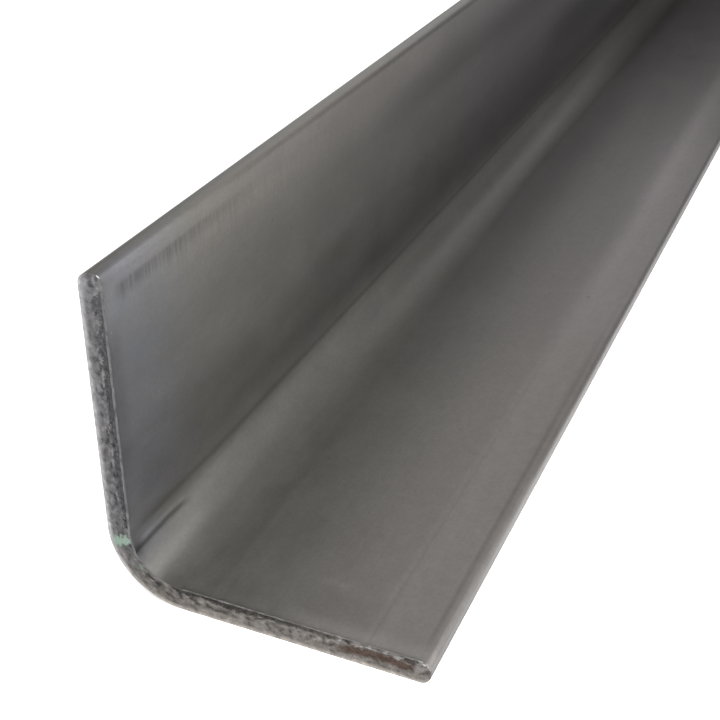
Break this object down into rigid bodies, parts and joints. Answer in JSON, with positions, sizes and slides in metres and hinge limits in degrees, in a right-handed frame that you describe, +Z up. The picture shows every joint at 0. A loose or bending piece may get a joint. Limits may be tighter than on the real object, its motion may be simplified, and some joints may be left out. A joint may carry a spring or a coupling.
{
  "type": "metal angle section",
  "caption": "Length of cold-formed steel angle: two flat legs at a right angle joined by a round bend, with sheared ends.",
  "frame": {"origin": "on the floor, under the middle of the base leg, at mid-length", "axes": "+Y along the bar, +Z up the upright leg, which stands at the -X edge of the base leg"},
  "size_m": [0.039, 1, 0.041],
  "materials": {
    "mill_steel": "bare mill-finish steel, satin dark grey, oiled, with lengthwise roll streaks"
  },
  "bodies": {
    "root": {"angle_section": "mill_steel"}
  },
  "joints": []
}
